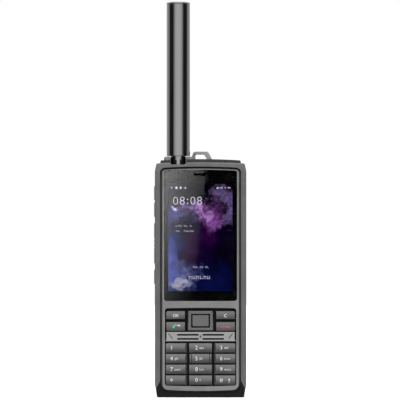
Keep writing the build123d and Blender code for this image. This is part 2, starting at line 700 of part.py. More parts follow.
def port_recess():
    """Recess for the port flap, and the bore of the socket behind it."""
    floor = HALF_WIDTH - 0.2 - FLAP_THICKNESS
    low, high = PORT_Z - PORT_HALF_HEIGHT - COVER_GAP, PORT_Z + PORT_HALF_HEIGHT + COVER_GAP
    depth = PORT_HALF_DEPTH + COVER_GAP
    recess = block(floor, BEYOND, PORT_Y - depth, PORT_Y + depth, low, high)
    bore = block(floor - 9, floor + 1, PORT_Y - 1.85, PORT_Y + 1.85, PORT_Z - 4.9, PORT_Z + 4.9)
    return recess + bore


def rear_housing():
    """Moulded shell: board bay, battery bay, loudspeaker and lower chambers, antenna channel."""
    body = housing_blank() & block(-BEYOND, BEYOND, GASKET_BACK, BACK + 1, PARTING, HOUSING_TOP + 1)
    board_bay = block(-27.0, 27.0, GASKET_BACK - 1, -6.0, 8, 155.5)
    shield_bay = block(-5.0, 26.0, -6.5, -3.2, 36, 154)
    battery_bay = block(BAY_LEFT, BAY_RIGHT, BAY_FLOOR, BACK + 1, BAY_LOW, BAY_HIGH)
    speaker_chamber = block(-2.0, 20.0, -6.5, 11.0, 139.5, 158.5)
    lower_chamber = block(-22.0, 20.0, -6.5, 11.0, 8, 31)
    cover_recess = slab(panel(COVER_LEFT, COVER_RIGHT, COVER_LOW, COVER_HIGH), COVER_FRONT, BACK + 1)
    lock_bore = rod_y(LOCK_X, 6.5, BACK, LOCK_Z, LOCK_BORE)
    body = body - board_bay - shield_bay - battery_bay - speaker_chamber - lower_chamber
    body = body - cover_recess - lock_bore - stow_channel() - hinge_bay() - notch()
    body = body - side_pockets() - port_recess() - speaker_grille()
    for leg_left, leg_right in (LOOP_LEFT_LEG, LOOP_RIGHT_LEG):
        body -= slab(panel(leg_left, leg_right, LOOP_LOW, FRAME_TOP), LOOP_FRONT, LOOP_BACK)
    for x in bracket_screw_places():
        body -= rod_y(x, SEAT_Y - 1.3, SEAT_Y + 1, HINGE_Z - 3.6, 1.0)
    for x, z in SCREW_PLACES:
        body -= rod_y(x, BACK - SCREW_SEAT, BACK + 1, z, 2.0) + rod_y(x, BACK - 9, BACK, z, 1.1)
    return body


def housing_screws():
    """Five cross-head screws in the back."""
    screws = Part()
    for x, z in SCREW_PLACES:
        head = rod_y(x, BACK - SCREW_SEAT, BACK - 0.5, z, 1.9)
        for angle in (0, 90):
            cross = Rot(0, angle, 0) * Box(2.2, 0.7, 0.4)
            head -= Pos(x, BACK - 0.5, z) * cross
        screws += head + rod_y(x, BACK - 8.8, BACK - SCREW_SEAT, z, 1.05)
    return screws


def battery_cover():
    """Flush cover over the battery, ribbed for grip, with the lock's hole at its foot."""
    gap = COVER_GAP
    face = panel(COVER_LEFT + gap, COVER_RIGHT - gap, COVER_LOW + gap, COVER_HIGH - gap)
    cover = slab(fillet(face.vertices(), 0.6), COVER_FRONT + 0.1, BACK)
    for row in range(7):
        z = RIB_LOW + row * RIB_PITCH
        cover -= slab(Pos(LOCK_X, z) * SlotOverall(24, 1.4), BACK - 0.4, BACK + 1)
    cover -= rod_y(LOCK_X, BACK - 1.0, BACK + 1, LOCK_Z, LOCK_RADIUS + 0.06)
    return cover - rod_y(LOCK_X, COVER_FRONT - 1, BACK, LOCK_Z, LOCK_BORE)


def cover_lock():
    """Quarter-turn lock of the battery cover, with a coin slot."""
    head = rod_y(LOCK_X, BACK - 0.95, BACK, LOCK_Z, LOCK_RADIUS)
    shank = rod_y(LOCK_X, 7.0, BACK - 0.95, LOCK_Z, 2.0)
    return head + shank - block(LOCK_X - 3.4, LOCK_X + 3.4, BACK - 0.5, BACK + 1, LOCK_Z - 0.6, LOCK_Z + 0.6)


def battery():
    """Flat rechargeable pack."""
    x0, x1 = BAY_LEFT + 0.3, BAY_RIGHT - 0.3
    pack = block(x0, x1, BAY_FLOOR + 0.1, COVER_FRONT - 0.3, BAY_LOW + 0.8, BAY_HIGH - 0.3)
    return fillet(pack.edges().filter_by(Axis.Z), 1.5)


# ---- electronics ---------------------------------------------------------------------------
def main_board():
    """Main circuit board behind the chassis."""
    return slab(panel(-26.4, 26.0, 34.0, 154.5), BOARD_FRONT, BOARD_BACK)


def shield_cans():
    """Two shielding cans over the radio and processor circuits."""
    cans = Part()
    for low, high in ((58, 92), (96, 130)):
        cans += fillet(block(-3.5, 24.0, BOARD_BACK, -3.6, low, high).edges().filter_by(Axis.Y), 1.0)
    return cans


def loudspeaker():
    """Ringer loudspeaker against the grille."""
    box = block(0.5, 17.5, 5.5, 10.9, 141.0, 157.0)
    return fillet(box.edges().filter_by(Axis.Y), 4.0)


def vibration_motor():
    """Coin vibration motor in the lower chamber."""
    return rod_y(-14.0, 7.5, 10.9, 18.0, 5.0)


def microphone():
    """Microphone capsule behind the foot of the keypad."""
    return rod_y(0.0, CHASSIS_BACK, CHASSIS_BACK + 2.0, 13.0, 2.5)


def charge_port():
    """Oval charging socket with its contact tongue."""
    mouth = HALF_WIDTH - 0.2 - FLAP_THICKNESS
    oval = Rot(0, 0, 90) * SlotOverall(9.4, 3.5)
    hollow = Rot(0, 0, 90) * SlotOverall(8.6, 2.7)
    shell = extrude(Plane.YZ.offset(mouth - 8) * Pos(PORT_Y, PORT_Z) * oval, amount=7.7)
    shell -= extrude(Plane.YZ.offset(mouth - 7) * Pos(PORT_Y, PORT_Z) * hollow, amount=8)
    return shell + block(mouth - 7.5, mouth - 2, PORT_Y - 0.35, PORT_Y + 0.35, PORT_Z - 3.3, PORT_Z + 3.3)


def port_cover():
    """Rubber flap over the charging socket, with a thumb-nail nick at its foot."""
    face = HALF_WIDTH - 0.2
    flap = block(face - FLAP_THICKNESS + 0.1, face, PORT_Y - PORT_HALF_DEPTH, PORT_Y + PORT_HALF_DEPTH,
                 PORT_Z - PORT_HALF_HEIGHT, PORT_Z + PORT_HALF_HEIGHT)
    flap = fillet(flap.edges().filter_by(Axis.X), 1.0)
    return flap - rod_y(face + 0.6, PORT_Y - 2, PORT_Y + 2, PORT_Z - PORT_HALF_HEIGHT + 1.2, 1.0)


# ---- side keys -----------------------------------------------------------------------------
def side_button(low, high):
    """Long rounded key in the left wall."""
    cap = block(SIDE_FACE, SIDE_BACK, SIDE_Y - SIDE_HALF_DEPTH, SIDE_Y + SIDE_HALF_DEPTH, low, high)
    cap = fillet(cap.edges().filter_by(Axis.X), 1.6)
    return chamfer(cap.faces().sort_by(Axis.X)[0].edges(), 0.3)


def volume_rocker():
    """Rocker with a dip at its middle."""
    middle = (ROCKER_LOW + ROCKER_HIGH) / 2
    return side_button(ROCKER_LOW, ROCKER_HIGH) - rod_y(SIDE_FACE - 0.7, SIDE_Y - 4, SIDE_Y + 4, middle, 1.3)


def ptt_key():
    """Push-to-talk key with three grip grooves."""
    key = side_button(PTT_LOW, PTT_HIGH)
    middle = (PTT_LOW + PTT_HIGH) / 2
    for step in (-1, 0, 1):
        key -= rod_y(SIDE_FACE - 0.35, SIDE_Y - 4, SIDE_Y + 4, middle + 3 * step, 0.6)
    return key


def side_key():
    """Short key below the talk key."""
    return side_button(SMALL_KEY_LOW, SMALL_KEY_HIGH)


# ---- all nodes -----------------------------------------------------------------------------
SINGLE_NODES = [
    outer_frame, bottom_cap, front_bezel, bezel_gasket, housing_gasket, top_cap, top_cap_end, cover_glass,
    earpiece_mesh, earpiece_speaker, display_panel, display_chassis, inner_screws, nav_ring, nav_carrier,
    centre_key, metal_strip, keypad_mat, key_board, antenna_radome, antenna_tip, antenna_base, antenna_former,
    antenna_helix, antenna_feed, hinge_bracket, hinge_pin, hinge_washers, lanyard_loop, rear_housing,
    housing_screws, battery_cover, cover_lock, battery, main_board, shield_cans, loudspeaker, vibration_motor,
    microphone, charge_port, port_cover, volume_rocker, ptt_key, side_key,
]
NUMBER_NAMES = [["key_1", "key_2", "key_3"], ["key_4", "key_5", "key_6"], ["key_7", "key_8", "key_9"],
                ["key_star", "key_0", "key_hash"]]


def main():
    os.makedirs("parts", exist_ok=True)
    for make in SINGLE_NODES:
        save(make.__name__, make())
    for row, names in enumerate(NUMBER_NAMES):
        for column, name in zip((-1, 0, 1), names):
            save(name, homing_key() if name == "key_5" else number_key(row, column))
    save("soft_key_left", function_key(-1, SOFT_LOW, SOFT_HIGH, False))
    save("soft_key_right", function_key(1, SOFT_LOW, SOFT_HIGH, False))
    save("call_key", function_key(-1, CALL_LOW, CALL_HIGH, True))
    save("end_key", function_key(1, CALL_LOW, CALL_HIGH, True))


main()
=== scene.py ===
"""Studio scene of the satellite phone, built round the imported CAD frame. Metres, +Z up, front towards -Y."""

import json
import math
import bmesh
import bpy
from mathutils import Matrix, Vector


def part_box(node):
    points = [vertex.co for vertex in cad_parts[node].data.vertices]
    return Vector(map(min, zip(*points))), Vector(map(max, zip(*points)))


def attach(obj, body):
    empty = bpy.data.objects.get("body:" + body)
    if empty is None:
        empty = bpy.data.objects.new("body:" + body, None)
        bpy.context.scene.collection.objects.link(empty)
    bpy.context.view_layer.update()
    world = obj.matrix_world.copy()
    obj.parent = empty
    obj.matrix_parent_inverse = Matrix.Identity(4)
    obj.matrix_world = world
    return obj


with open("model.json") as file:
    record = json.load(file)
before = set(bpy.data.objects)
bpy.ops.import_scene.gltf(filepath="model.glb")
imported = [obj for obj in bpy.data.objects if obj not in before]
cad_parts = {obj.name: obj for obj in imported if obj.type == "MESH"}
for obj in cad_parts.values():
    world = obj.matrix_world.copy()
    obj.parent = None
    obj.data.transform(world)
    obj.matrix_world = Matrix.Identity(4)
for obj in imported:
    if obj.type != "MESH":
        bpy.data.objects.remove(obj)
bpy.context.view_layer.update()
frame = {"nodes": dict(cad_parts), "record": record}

MM = 0.001
NODES = frame["nodes"]
GLASS_LOW, GLASS_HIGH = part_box("cover_glass")
FRONT_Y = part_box("outer_frame")[0].y

# Camera: square to the front, far enough away that the view is almost flat
CAMERA_DISTANCE = 3.0
CAMERA_X = -0.4 * MM
VIEW_WIDTH = 284.2 * MM
VIEW_FOOT = 1.8 * MM
CAMERA_Z = VIEW_WIDTH / 2 - VIEW_FOOT
SENSOR = 36.0

# Lit area of the display, and the plane that its picture lies in, just inside the glass
SCREEN_LOW = Vector((-23.0 * MM, 0, 75.5 * MM))
SCREEN_HIGH = Vector((22.7 * MM, 0, 151.7 * MM))
SCREEN_Y = GLASS_HIGH.y - 0.05 * MM

# Gap between a layer of ink or light and what it lies on
INK_LIFT = 0.02 * MM


# ---- helpers: objects ----------------------------------------------------------------------
def link(mesh, name):
    """New object from a mesh, in the scene."""
    obj = bpy.data.objects.new(name, mesh)
    bpy.context.scene.collection.objects.link(obj)
    return obj


def mesh_from_bmesh(bm, name):
    """Object from a bmesh, which is freed."""
    mesh = bpy.data.meshes.new(name)
    bm.to_mesh(mesh)
    bm.free()
    return link(mesh, name)


def in_mm(points):
    """Points given in millimetres, as metres."""
    return [(x * MM, z * MM) for x, z in points]


def polygon_xz(bm, points, y):
    """Flat polygon facing -Y from (x, z) points."""
    return bm.faces.new([bm.verts.new((x, y, z)) for x, z in points])


def rectangle_xz(bm, x0, x1, z0, z1, y):
    """Upright rectangle facing -Y."""
    polygon_xz(bm, [(x0, z0), (x1, z0), (x1, z1), (x0, z1)], y)


def bar(bm, x, z, wide, tall, y):
    """Upright rectangle centred on x, z."""
    rectangle_xz(bm, x - wide / 2, x + wide / 2, z - tall / 2, z + tall / 2, y)


def flat_mark(name, points):
    """Flat mark of one outline in millimetres, cut into triangles, because it may be hollow-sided."""
    bm = bmesh.new()
    polygon_xz(bm, in_mm(points), 0)
    bmesh.ops.triangulate(bm, faces=bm.faces[:])
    return mesh_from_bmesh(bm, name)


def text_mesh(name, words, size, x, z, y, spacing=1.0, bold=0.0, align="CENTER"):
    """Flat lettering facing -Y, centred on z, as a mesh."""
    curve = bpy.data.curves.new(name + "_text", "FONT")
    curve.body = words
    curve.size = size
    curve.align_x = align
    curve.align_y = "CENTER"
    curve.space_character = spacing
    curve.offset = bold
    curve.resolution_u = 3
    source = bpy.data.objects.new(name + "_text", curve)
    bpy.context.scene.collection.objects.link(source)
    bpy.context.view_layer.update()
    mesh = bpy.data.meshes.new_from_object(source)
    bpy.data.objects.remove(source)
    bpy.data.curves.remove(curve)
    for vertex in mesh.vertices:
        vertex.co = Vector((vertex.co.x + x, y, vertex.co.y + z))
    mesh.name = name
    return link(mesh, name)


def join_into(target, *others):
    """Join flat meshes into one object."""
    bm = bmesh.new()
    bm.from_mesh(target.data)
    for other in others:
        bm.from_mesh(other.data)
        bpy.data.objects.remove(other)
    bm.to_mesh(target.data)
    bm.free()
    return target


def dress(obj, material, body):
    """Give a new piece its material and body."""
    obj.data.materials.clear()
    obj.data.materials.append(material)
    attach(obj, body)


# ---- helpers: materials --------------------------------------------------------------------
EDGE_SHARPNESS = 6.0
NO_TINT = (1, 1, 1)


class Shader:
    """Short way to build one node material round its surface shader."""

    def __init__(self, name):
        self.material = bpy.data.materials.new(name)
        self.material.use_nodes = True
        self.nodes = self.material.node_tree.nodes
        self.links = self.material.node_tree.links
        self.surface = self.nodes["Principled BSDF"]
        self.place = self.add("ShaderNodeTexCoord").outputs["Object"]

    def add(self, kind, inputs=None, **settings):
        node = self.nodes.new(kind)
        for key, value in settings.items():
            setattr(node, key, value)
        for key, value in (inputs or {}).items():
            if isinstance(value, bpy.types.NodeSocket):
                self.links.new(value, node.inputs[key])
            else:
                node.inputs[key].default_value = value
        return node

    def set(self, **values):
        for key, value in values.items():
            self.surface.inputs[key.replace("_", " ")].default_value = value

    def wire(self, socket, name):
        self.links.new(socket, self.surface.inputs[name])

    def math(self, operation, first, second=0.0, clamp=False):
        node = self.add("ShaderNodeMath", {0: first, 1: second}, operation=operation, use_clamp=clamp)
        return node.outputs[0]

    def noise(self, scale, detail=4.0, stretch=(1, 1, 1), roughness=0.5, distortion=0.0):
        moved = self.add("ShaderNodeMapping", {"Vector": self.place, "Scale": stretch}).outputs[0]
        inputs = {"Vector": moved, "Scale": scale, "Detail": detail, "Roughness": roughness}
        inputs["Distortion"] = distortion
        return self.add("ShaderNodeTexNoise", inputs).outputs["Fac"]

    def ramp(self, factor, *stops):
        node = self.add("ShaderNodeValToRGB", {"Fac": factor})
        elements = node.color_ramp.elements
        while len(elements) < len(stops):
            elements.new(0.5)
        for element, (position, colour) in zip(elements, stops):
            element.position = position
            element.color = (*colour, 1.0)
        return node.outputs["Color"]

    def spread(self, factor, low, high, from_low=0.3, from_high=0.7):
        inputs = {"Value": factor, "From Min": from_low, "From Max": from_high, "To Min": low, "To Max": high}
        return self.add("ShaderNodeMapRange", inputs).outputs["Result"]

    def mix(self, factor, first, second):
        node = self.add("ShaderNodeMix", data_type="RGBA")
        for index, value in ((0, factor), (6, first), (7, second)):
            if isinstance(value, bpy.types.NodeSocket):
                self.links.new(value, node.inputs[index])
            elif index == 0:
                node.inputs[index].default_value = value
            else:
                node.inputs[index].default_value = (*value, 1.0)
        return node.outputs[2]

    def edges(self, radius):
        """Mask that is 1 on worn outer edges."""
        rounded = self.add("ShaderNodeBevel", {"Radius": radius}, samples=4).outputs["Normal"]
        flat = self.add("ShaderNodeNewGeometry").outputs["Normal"]
        agree = self.add("ShaderNodeVectorMath", {0: rounded, 1: flat}, operation="DOT_PRODUCT")
        apart = self.math("SUBTRACT", 1.0, agree.outputs["Value"])
        return self.math("MULTIPLY", apart, EDGE_SHARPNESS, clamp=True)

    def bump(self, height, strength, distance):
        node = self.add("ShaderNodeBump", {"Height": height, "Strength": strength, "Distance": distance})
        self.wire(node.outputs["Normal"], "Normal")


def shade(tone, tint=NO_TINT):
    """Colour of a tone: a grey, or a tinted grey."""
    return tuple(tone * part for part in tint)


def satin_paint(name, tone, roughness, metallic, grain=9000.0, wear=0.5):
    """Painted or anodised metal look: fine grain, faint clouding and lighter edges."""
    s = Shader(name)
    fine = s.noise(grain, 2.0)
    base = s.ramp(s.noise(70.0, 5.0), (0.35, shade(tone * 0.86)), (0.65, shade(tone * 1.12)))
    speckled = s.mix(s.spread(fine, 0.0, 0.25), base, shade(tone * 1.5))
    worn = s.math("MULTIPLY", s.edges(0.35 * MM), wear)
    s.wire(s.mix(worn, speckled, shade(tone * 2.1)), "Base Color")
    s.wire(s.spread(s.noise(240.0, 3.0), roughness * 0.85, roughness * 1.2), "Roughness")
    s.bump(fine, 0.12, 0.02 * MM)
    s.set(Metallic=metallic)
    return s.material


def moulded_plastic(name, tone, roughness, texture=2600.0, depth=0.05, tint=NO_TINT, shine=0.5):
    """Spark-eroded plastic: a fine pebble grain with rubbed, lighter edges."""
    s = Shader(name)
    pebble = s.add("ShaderNodeTexVoronoi", {"Vector": s.place, "Scale": texture}).outputs["Distance"]
    base = s.ramp(s.noise(55.0, 6.0), (0.3, shade(tone * 0.8, tint)), (0.7, shade(tone * 1.2, tint)))
    worn = s.math("MULTIPLY", s.edges(0.3 * MM), 0.35)
    s.wire(s.mix(worn, base, shade(tone * 2.4, tint)), "Base Color")
    s.wire(s.spread(s.noise(320.0, 3.0), roughness * 0.85, roughness * 1.15), "Roughness")
    s.bump(pebble, 0.25, depth * MM)
    s.set(Specular_IOR_Level=shine)
    return s.material


def gloss_black():
    """Polished black of the antenna, with faint orange peel and hairline scuffs."""
    s = Shader("gloss_black")
    scuffs = s.noise(900.0, 3.0, stretch=(1, 1, 0.05))
    s.wire(s.ramp(s.noise(40.0), (0.3, shade(0.006)), (0.7, shade(0.011))), "Base Color")
    s.wire(s.spread(scuffs, 0.04, 0.08), "Roughness")
    s.bump(s.noise(500.0, 2.0), 0.01, 0.01 * MM)
    s.set(IOR=1.95, Coat_Weight=0.6, Coat_Roughness=0.03)
    return s.material


def rubber(name, tone, shine):
    """Dull silicone with a fine bloom."""
    s = Shader(name)
    s.wire(s.ramp(s.noise(160.0, 6.0), (0.3, shade(tone * 0.7)), (0.7, shade(tone * 1.5))), "Base Color")
    s.wire(s.spread(s.noise(500.0), 0.6, 0.8), "Roughness")
    s.bump(s.noise(4200.0, 2.0), 0.15, 0.03 * MM)
    s.set(Specular_IOR_Level=shine)
    return s.material


# Heights over the seal's foot, and under its head, between which its painted shade fades from dark to grey
SEAL_FOOT_FADE = (4 * MM, 12 * MM)
SEAL_HEAD_FADE = (7 * MM, 3 * MM)


def groove_seal(low, high):
    """Seal in the groove round the bezel: grey along the sides, with painted shade making it dark at its head
    and foot, where the groove lies in shadow.
    """
    s = Shader("grey_rubber")
    up = s.add("ShaderNodeSeparateXYZ", {"Vector": s.place}).outputs["Z"]
    # Painted shade: the mask falls to 0 at the seal's foot and head, turning it dark where the groove lies in
    # shadow; elsewhere it keeps a random mottle.
    above = s.spread(up, 0.0, 1.0, *(low + fade for fade in SEAL_FOOT_FADE))
    below = s.spread(up, 1.0, 0.0, *(high - fade for fade in SEAL_HEAD_FADE))
    unshaded_mottle = s.math("MULTIPLY", s.math("MULTIPLY", above, below), s.spread(s.noise(300.0, 6.0), 0.7, 1.0))
    s.wire(s.mix(unshaded_mottle, shade(0.002), shade(0.045)), "Base Color")
    s.wire(s.spread(s.noise(500.0), 0.6, 0.8), "Roughness")
    s.bump(s.noise(4200.0, 2.0), 0.15, 0.03 * MM)
    s.set(Specular_IOR_Level=0.3)
    return s.material


def brushed(name, tone, roughness, along=(0.02, 1, 1), tint=NO_TINT):
    """Brushed metal with long fine scratches along one axis."""
    s = Shader(name)
    lines = s.noise(5200.0, 4.0, stretch=along, roughness=0.7)
    base = s.ramp(lines, (0.3, shade(tone * 0.78, tint)), (0.7, shade(tone * 1.12, tint)))
    cloud = s.spread(s.noise(120.0, 3.0), 0.0, 0.3)
    s.wire(s.mix(cloud, base, shade(tone * 0.8, tint)), "Base Color")
    s.wire(s.spread(lines, roughness * 0.8, roughness * 1.25), "Roughness")
    s.bump(lines, 0.2, 0.015 * MM)
    s.set(Metallic=1.0, Anisotropic=0.5)
    return s.material


def clear_glass():
    """Cover glass: clear, polished, with the faintest smears in its gloss."""
    s = Shader("cover_glass")
    smear = s.noise(90.0, 5.0, distortion=0.8)
    s.wire(s.spread(smear, 0.0, 0.035), "Roughness")
    s.wire(s.ramp(s.noise(30.0), (0.3, shade(0.97)), (0.7, shade(1.0))), "Base Color")
    s.set(Transmission_Weight=1.0, IOR=1.5)
    return s.material


def ink_black():
    """Black ink printed behind the glass."""
    s = Shader("glass_ink")
    s.wire(s.ramp(s.noise(2600.0), (0.3, shade(0.0012)), (0.7, shade(0.003))), "Base Color")
    s.wire(s.spread(s.noise(600.0), 0.4, 0.6), "Roughness")
    s.set(Specular_IOR_Level=0.0)
    return s.material


def paint(name, colour, glow=0.0):
    """Printed legend ink, slightly uneven, a little translucent when backlit."""
    s = Shader(name)
    darker = tuple(c * 0.82 for c in colour)
    tone = s.ramp(s.noise(3800.0), (0.35, darker), (0.65, colour))
    s.wire(tone, "Base Color")
    s.wire(s.spread(s.noise(900.0), 0.4, 0.6), "Roughness")
    s.wire(tone, "Emission Color")
    s.set(Emission_Strength=glow)
    return s.material


def light_ink(name, colour):
    """Bright pixels of the display's lettering, with the fine grid of the panel."""
    s = Shader(name)
    grid = s.add("ShaderNodeTexChecker", {"Vector": s.place, "Scale": 10500.0}).outputs["Fac"]
    tone = s.mix(s.math("MULTIPLY", grid, 0.12), colour, tuple(c * 0.7 for c in colour))
    s.wire(tone, "Emission Color")
    s.set(Emission_Strength=1.0, Roughness=0.5, Specular_IOR_Level=0.0)
    s.surface.inputs["Base Color"].default_value = (0, 0, 0, 1)
    return s.material


# Puffs of colour on the wallpaper: place across and up, half sizes, softness, texture, tint and gain
WALLPAPER_PUFFS = (
    (0.50, 0.50, 0.34, 0.30, 1.2, "haze", (0.007, 0.0008, 0.022), 1.0),
    (0.62, 0.08, 0.60, 0.24, 1.0, "haze", (0.002, 0.004, 0.048), 1.0),
    (0.60, 0.54, 0.18, 0.14, 1.3, "haze", (0.022, 0.0005, 0.040), 0.9),
    (0.36, 0.40, 0.16, 0.22, 1.0, "haze", (0.026, 0.004, 0.042), 0.9),
    (0.16, 0.42, 0.12, 0.24, 1.0, "haze", (0.008, 0.016, 0.090), 0.9),
    (-0.04, 0.46, 0.16, 0.55, 1.0, "haze", (0.012, 0.022, 0.190), 1.0),
    (-0.02, 0.20, 0.26, 0.28, 1.0, "haze", (0.085, 0.105, 0.410), 0.95),
    (0.26, 0.14, 0.32, 0.17, 1.1, "smoke", (0.120, 0.130, 0.330), 1.0),
    (0.18, 0.70, 0.34, 0.07, 1.0, "smoke", (0.080, 0.065, 0.240), 1.0),
    (0.36, 0.76, 0.22, 0.09, 1.0, "smoke", (0.230, 0.130, 0.380), 1.2),
    (0.82, 0.90, 0.20, 0.10, 0.8, "wisps", (0.150, 0.100, 0.250), 0.85),
    (0.96, 0.78, 0.10, 0.22, 0.8, "wisps", (0.140, 0.095, 0.250), 0.85),
    (0.66, 0.68, 0.26, 0.17, 0.9, "smoke", (0.230, 0.070, 0.310), 1.3),
    (0.53, 0.74, 0.16, 0.12, 1.0, "smoke", (0.400, 0.190, 0.520), 1.3),
    (0.62, 0.69, 0.08, 0.06, 1.0, "wisps", (0.440, 0.220, 0.580), 0.7),
    (0.76, 0.60, 0.18, 0.07, 1.0, "smoke", (0.190, 0.070, 0.280), 1.1),
    (0.21, 0.065, 0.20, 0.065, 1.2, "haze", (0.340, 0.340, 0.470), 1.2),
    (0.09, 0.775, 0.085, 0.050, 1.0, "haze", (0.300, 0.290, 0.560), 1.2),
    (0.09, 0.780, 0.045, 0.028, 1.0, "haze", (0.750, 0.730, 1.000), 1.2),
)


def wallpaper():
    """Lit picture on the display: violet and blue smoke on near-black."""
    s = Shader("wallpaper")
    push = s.add("ShaderNodeTexNoise", {"Vector": s.place, "Scale": 95.0, "Detail": 5.0}).outputs["Color"]
    push = s.add("ShaderNodeVectorMath", {0: push, 1: (0.5, 0.5, 0.5)}, operation="SUBTRACT").outputs[0]
    push = s.add("ShaderNodeVectorMath", {0: push, "Scale": 26.0 * MM}, operation="SCALE").outputs[0]
    bent = s.add("ShaderNodeVectorMath", {0: s.place, 1: push}, operation="ADD").outputs[0]
    parts = s.add("ShaderNodeSeparateXYZ", {"Vector": bent}).outputs
    across = s.spread(parts["X"], 0.0, 1.0, SCREEN_LOW.x, SCREEN_HIGH.x)
    upward = s.spread(parts["Z"], 0.0, 1.0, SCREEN_LOW.z, SCREEN_HIGH.z)

    def puff(x, z, wide, tall, softness):
        """Soft elliptical mask round a place on the picture, from 0 to 1 across and up."""
        dx = s.math("DIVIDE", s.math("SUBTRACT", across, x), wide)
        dz = s.math("DIVIDE", s.math("SUBTRACT", upward, z), tall)
        far = s.math("ADD", s.math("MULTIPLY", dx, dx), s.math("MULTIPLY", dz, dz))
        return s.math("POWER", s.math("SUBTRACT", 1.0, far, clamp=True), softness)

    clumps = s.spread(s.noise(130.0, 5.0, roughness=0.6), 0.0, 1.0, 0.38, 0.64)
    wisps = s.spread(s.noise(360.0, 9.0, roughness=0.72), 0.25, 1.5, 0.38, 0.64)
    smoke = s.math("MULTIPLY", s.spread(clumps, 0.25, 1.1, 0.0, 1.0), wisps)
    haze = s.spread(s.noise(90.0, 6.0, roughness=0.6), 0.5, 1.25, 0.32, 0.68)
    colour = s.ramp(s.noise(50.0, 3.0), (0.35, (0.0004, 0.0002, 0.0015)), (0.65, (0.002, 0.0006, 0.008)))
    textures = {"haze": haze, "smoke": smoke, "wisps": wisps}
    for *outline, texture, tint, gain in WALLPAPER_PUFFS:
        amount = s.math("MULTIPLY", puff(*outline), textures[texture])
        colour = s.mix(s.math("MULTIPLY", amount, gain, clamp=True), colour, tint)
    s.wire(colour, "Emission Color")
    s.surface.inputs["Base Color"].default_value = (0, 0, 0, 1)
    s.wire(s.spread(wisps, 0.45, 0.55), "Roughness")
    s.set(Emission_Strength=1.0, Specular_IOR_Level=0.0)
    return s.material


def circuit_board():
    """Green solder mask with faint copper tracks under it."""
    s = Shader("circuit_board")
    tracks = s.add("ShaderNodeTexBrick", {"Vector": s.place, "Scale": 260.0}).outputs["Fac"]
    base = s.ramp(s.noise(180.0), (0.3, (0.004, 0.035, 0.018)), (0.7, (0.008, 0.06, 0.03)))
    s.wire(s.mix(tracks, base, (0.02, 0.11, 0.05)), "Base Color")
    s.wire(s.spread(s.noise(400.0), 0.3, 0.45), "Roughness")
    s.bump(tracks, 0.2, 0.03 * MM)
    return s.material


# ---- camera --------------------------------------------------------------------------------
def make_camera():
    """Long lens, square to the front."""
    data = bpy.data.cameras.new("camera")
    data.sensor_width = SENSOR
    data.lens = SENSOR * CAMERA_DISTANCE / VIEW_WIDTH
    data.clip_end = 50.0
    camera = bpy.data.objects.new("camera", data)
    bpy.context.scene.collection.objects.link(camera)
    camera.location = (CAMERA_X, FRONT_Y - CAMERA_DISTANCE, CAMERA_Z)
    camera.rotation_euler = (math.pi / 2, 0, 0)
    bpy.context.scene.camera = camera


# ---- studio --------------------------------------------------------------------------------
# Brightness round the studio. Turn is the angle from the camera's side as a share of half a turn, and
# height runs from 0 straight down to 1 straight up, with the horizon at 0.5.
BAND_TURN = [(0.0, 1.0), (0.12, 0.92), (0.2, 0.6), (0.25, 0.2), (0.3, 0.004), (0.49, 0.003),
             (0.56, 0.36), (1.0, 0.42)]
BAND_HEIGHT = [(0.0, 0.05), (0.4, 0.12), (0.47, 0.7), (0.49, 1.0), (0.56, 1.0), (0.64, 0.3), (0.72, 0.0)]
CANOPY_TURN = [(0.0, 1.0), (0.5, 0.7), (1.0, 0.75)]
CANOPY_HEIGHT = [(0.0, 0.0), (0.58, 0.0), (0.68, 0.8), (0.78, 1.3), (0.86, 1.2), (0.91, 0.1),
                 (0.96, 1.4), (1.0, 1.4)]
STUDIO_STRENGTH = 2.6
FLOOR_RADIUS = 2.6


